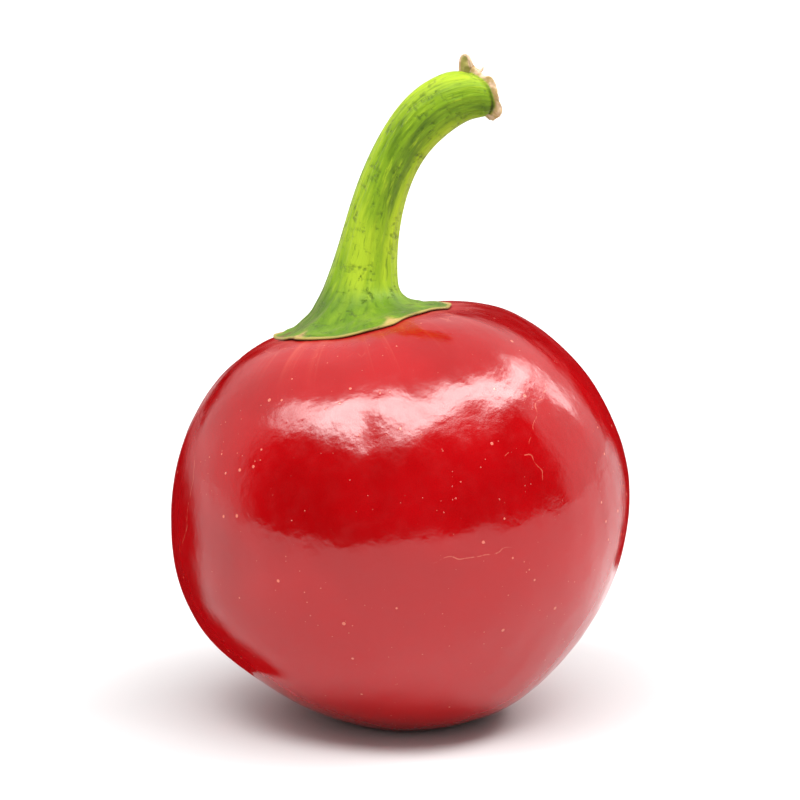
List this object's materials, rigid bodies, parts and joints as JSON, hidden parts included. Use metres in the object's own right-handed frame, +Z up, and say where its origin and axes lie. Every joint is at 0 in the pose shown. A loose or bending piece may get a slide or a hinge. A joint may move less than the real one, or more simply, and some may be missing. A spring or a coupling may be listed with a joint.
{
  "type": "chilli pepper",
  "caption": "Whole round red cherry-type chilli pepper with its star-shaped green calyx and bent stem, resting on a flat patch of its foot.",
  "frame": {"origin": "middle of the whole pepper's box, on the surface it rests on", "axes": "+Z up; the crown leans about 12 degrees towards -X and 8 degrees towards +Y, and the stem bends towards +X"},
  "size_m": [0.04, 0.0402, 0.056],
  "materials": {
    "red_skin": "gloss",
    "calyx_green": "satin",
    "stem_green": "satin"
  },
  "bodies": {
    "root": {"pod": "red_skin", "calyx": "calyx_green", "stem": "stem_green"}
  },
  "joints": []
}
